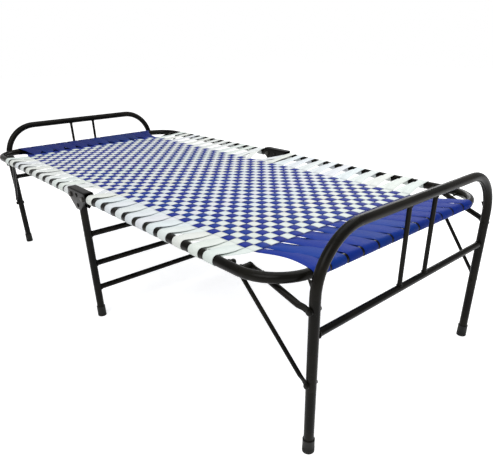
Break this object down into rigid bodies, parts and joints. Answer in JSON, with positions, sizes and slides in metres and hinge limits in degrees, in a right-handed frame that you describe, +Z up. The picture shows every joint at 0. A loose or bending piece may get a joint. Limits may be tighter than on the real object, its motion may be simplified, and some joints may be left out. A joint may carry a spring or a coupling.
{
  "type": "charpai",
  "caption": "Folding charpai: tube frame halves on a middle stand, folding arched leg frames and a woven webbing lying surface.",
  "frame": {"origin": "on the floor, under the middle of the bed", "axes": "+X along the bed towards the foot end, +Y across it to the far side, +Z up"},
  "size_m": [1.924, 0.9276, 0.5615],
  "materials": {
    "black_enamel": "glossy black stoving enamel on steel tube",
    "dark_steel": "semi-gloss black enamel on bent sheet, worn at the edges",
    "zinc_steel": "dull zinc plate",
    "black_ferrule": "moulded plastic ferrule",
    "checked_webbing": "woven polyester webbing, blue lengthwise and off-white crosswise straps",
    "blue_webbing": "woven polyester webbing, blue with a darker edge"
  },
  "bodies": {
    "middle_stand": {"middle_leg_near": "black_enamel", "middle_leg_far": "black_enamel", "middle_foot_near": "black_ferrule", "middle_foot_far": "black_ferrule", "middle_bar_top": "black_enamel", "middle_bar_centre": "black_enamel", "middle_bar_bottom": "black_enamel", "hinge_bracket_near": "dark_steel", "hinge_bracket_far": "dark_steel", "hinge_bolt_foot_near": "zinc_steel", "hinge_bolt_foot_far": "zinc_steel", "hinge_bolt_head_near": "zinc_steel", "hinge_bolt_head_far": "zinc_steel", "upper_rivet_near": "dark_steel", "upper_rivet_far": "dark_steel", "lower_rivet_near": "dark_steel", "lower_rivet_far": "dark_steel", "mat_middle": "checked_webbing"},
    "hinge_sleeves_foot": {"hinge_sleeve_foot_near": "zinc_steel", "hinge_sleeve_foot_far": "zinc_steel"},
    "half_foot": {"frame_foot": "black_enamel", "mat_foot": "checked_webbing", "end_bands_foot": "blue_webbing", "side_bands_foot_near": "checked_webbing", "side_bands_foot_far": "checked_webbing", "arm_pivot_pin_foot_near": "zinc_steel", "arm_pivot_pin_foot_far": "zinc_steel", "stay_pivot_pin_foot_near": "zinc_steel", "stay_pivot_pin_foot_far": "zinc_steel"},
    "arms_foot": {"arm_foot_near": "black_enamel", "arm_foot_far": "black_enamel"},
    "legs_foot": {"leg_frame_foot": "black_enamel", "crossbar_foot": "black_enamel", "spindle_foot_near": "black_enamel", "spindle_foot_far": "black_enamel", "foot_cap_foot_near": "black_ferrule", "foot_cap_foot_far": "black_ferrule"},
    "stays_foot": {"stay_foot_near": "black_enamel", "stay_foot_far": "black_enamel"},
    "hinge_sleeves_head": {"hinge_sleeve_head_near": "zinc_steel", "hinge_sleeve_head_far": "zinc_steel"},
    "half_head": {"frame_head": "black_enamel", "mat_head": "checked_webbing", "end_bands_head": "blue_webbing", "side_bands_head_near": "checked_webbing", "side_bands_head_far": "checked_webbing", "arm_pivot_pin_head_near": "zinc_steel", "arm_pivot_pin_head_far": "zinc_steel", "stay_pivot_pin_head_near": "zinc_steel", "stay_pivot_pin_head_far": "zinc_steel"},
    "arms_head": {"arm_head_near": "black_enamel", "arm_head_far": "black_enamel"},
    "legs_head": {"leg_frame_head": "black_enamel", "crossbar_head": "black_enamel", "spindle_head_near": "black_enamel", "spindle_head_far": "black_enamel", "foot_cap_head_near": "black_ferrule", "foot_cap_head_far": "black_ferrule"},
    "stays_head": {"stay_head_near": "black_enamel", "stay_head_far": "black_enamel"}
  },
  "joints": [
    {"name": "hinge_sleeve_foot", "type": "hinge", "parent": "middle_stand", "child": "hinge_sleeves_foot", "pos_m": [0.045, 0, 0.445], "axis": [0, 1, 0], "range_deg": [0, 30]},
    {"name": "fold_foot", "type": "hinge", "parent": "hinge_sleeves_foot", "child": "half_foot", "pos_m": [0.045, 0, 0.445], "axis": [0, 1, 0], "range_deg": [0, 60]},
    {"name": "fold_legs_foot", "type": "hinge", "parent": "half_foot", "child": "arms_foot", "pos_m": [0.785, 0, 0.445], "axis": [0, 1, 0], "range_deg": [0, 153.93]},
    {"name": "leg_pivot_foot", "type": "hinge", "parent": "arms_foot", "child": "legs_foot", "pos_m": [0.947, 0, 0.388], "axis": [0, -1, 0], "range_deg": [0, 63.93]},
    {"name": "stay_pivot_foot", "type": "hinge", "parent": "half_foot", "child": "stays_foot", "pos_m": [0.74399, 0, 0.445], "axis": [0, 1, 0], "range_deg": [0, 126.04]},
    {"name": "hinge_sleeve_head", "type": "hinge", "parent": "middle_stand", "child": "hinge_sleeves_head", "pos_m": [-0.045, 0, 0.445], "axis": [0, -1, 0], "range_deg": [0, 30]},
    {"name": "fold_head", "type": "hinge", "parent": "hinge_sleeves_head", "child": "half_head", "pos_m": [-0.045, 0, 0.445], "axis": [0, -1, 0], "range_deg": [0, 60]},
    {"name": "fold_legs_head", "type": "hinge", "parent": "half_head", "child": "arms_head", "pos_m": [-0.785, 0, 0.445], "axis": [0, -1, 0], "range_deg": [0, 153.93]},
    {"name": "leg_pivot_head", "type": "hinge", "parent": "arms_head", "child": "legs_head", "pos_m": [-0.947, 0, 0.388], "axis": [0, 1, 0], "range_deg": [0, 63.93]},
    {"name": "stay_pivot_head", "type": "hinge", "parent": "half_head", "child": "stays_head", "pos_m": [-0.74399, 0, 0.445], "axis": [0, -1, 0], "range_deg": [0, 126.04]}
  ],
  "couplings": [
    {"joint": "hinge_sleeve_foot", "follows": "fold_legs_foot", "ratio": 0.19489},
    {"joint": "leg_pivot_foot", "follows": "fold_legs_foot", "ratio": 0.41532},
    {"joint": "stay_pivot_foot", "follows": "fold_legs_foot", "ratio": 0.81881},
    {"joint": "hinge_sleeve_head", "follows": "fold_legs_head", "ratio": 0.19489},
    {"joint": "leg_pivot_head", "follows": "fold_legs_head", "ratio": 0.41532},
    {"joint": "stay_pivot_head", "follows": "fold_legs_head", "ratio": 0.81881}
  ]
}
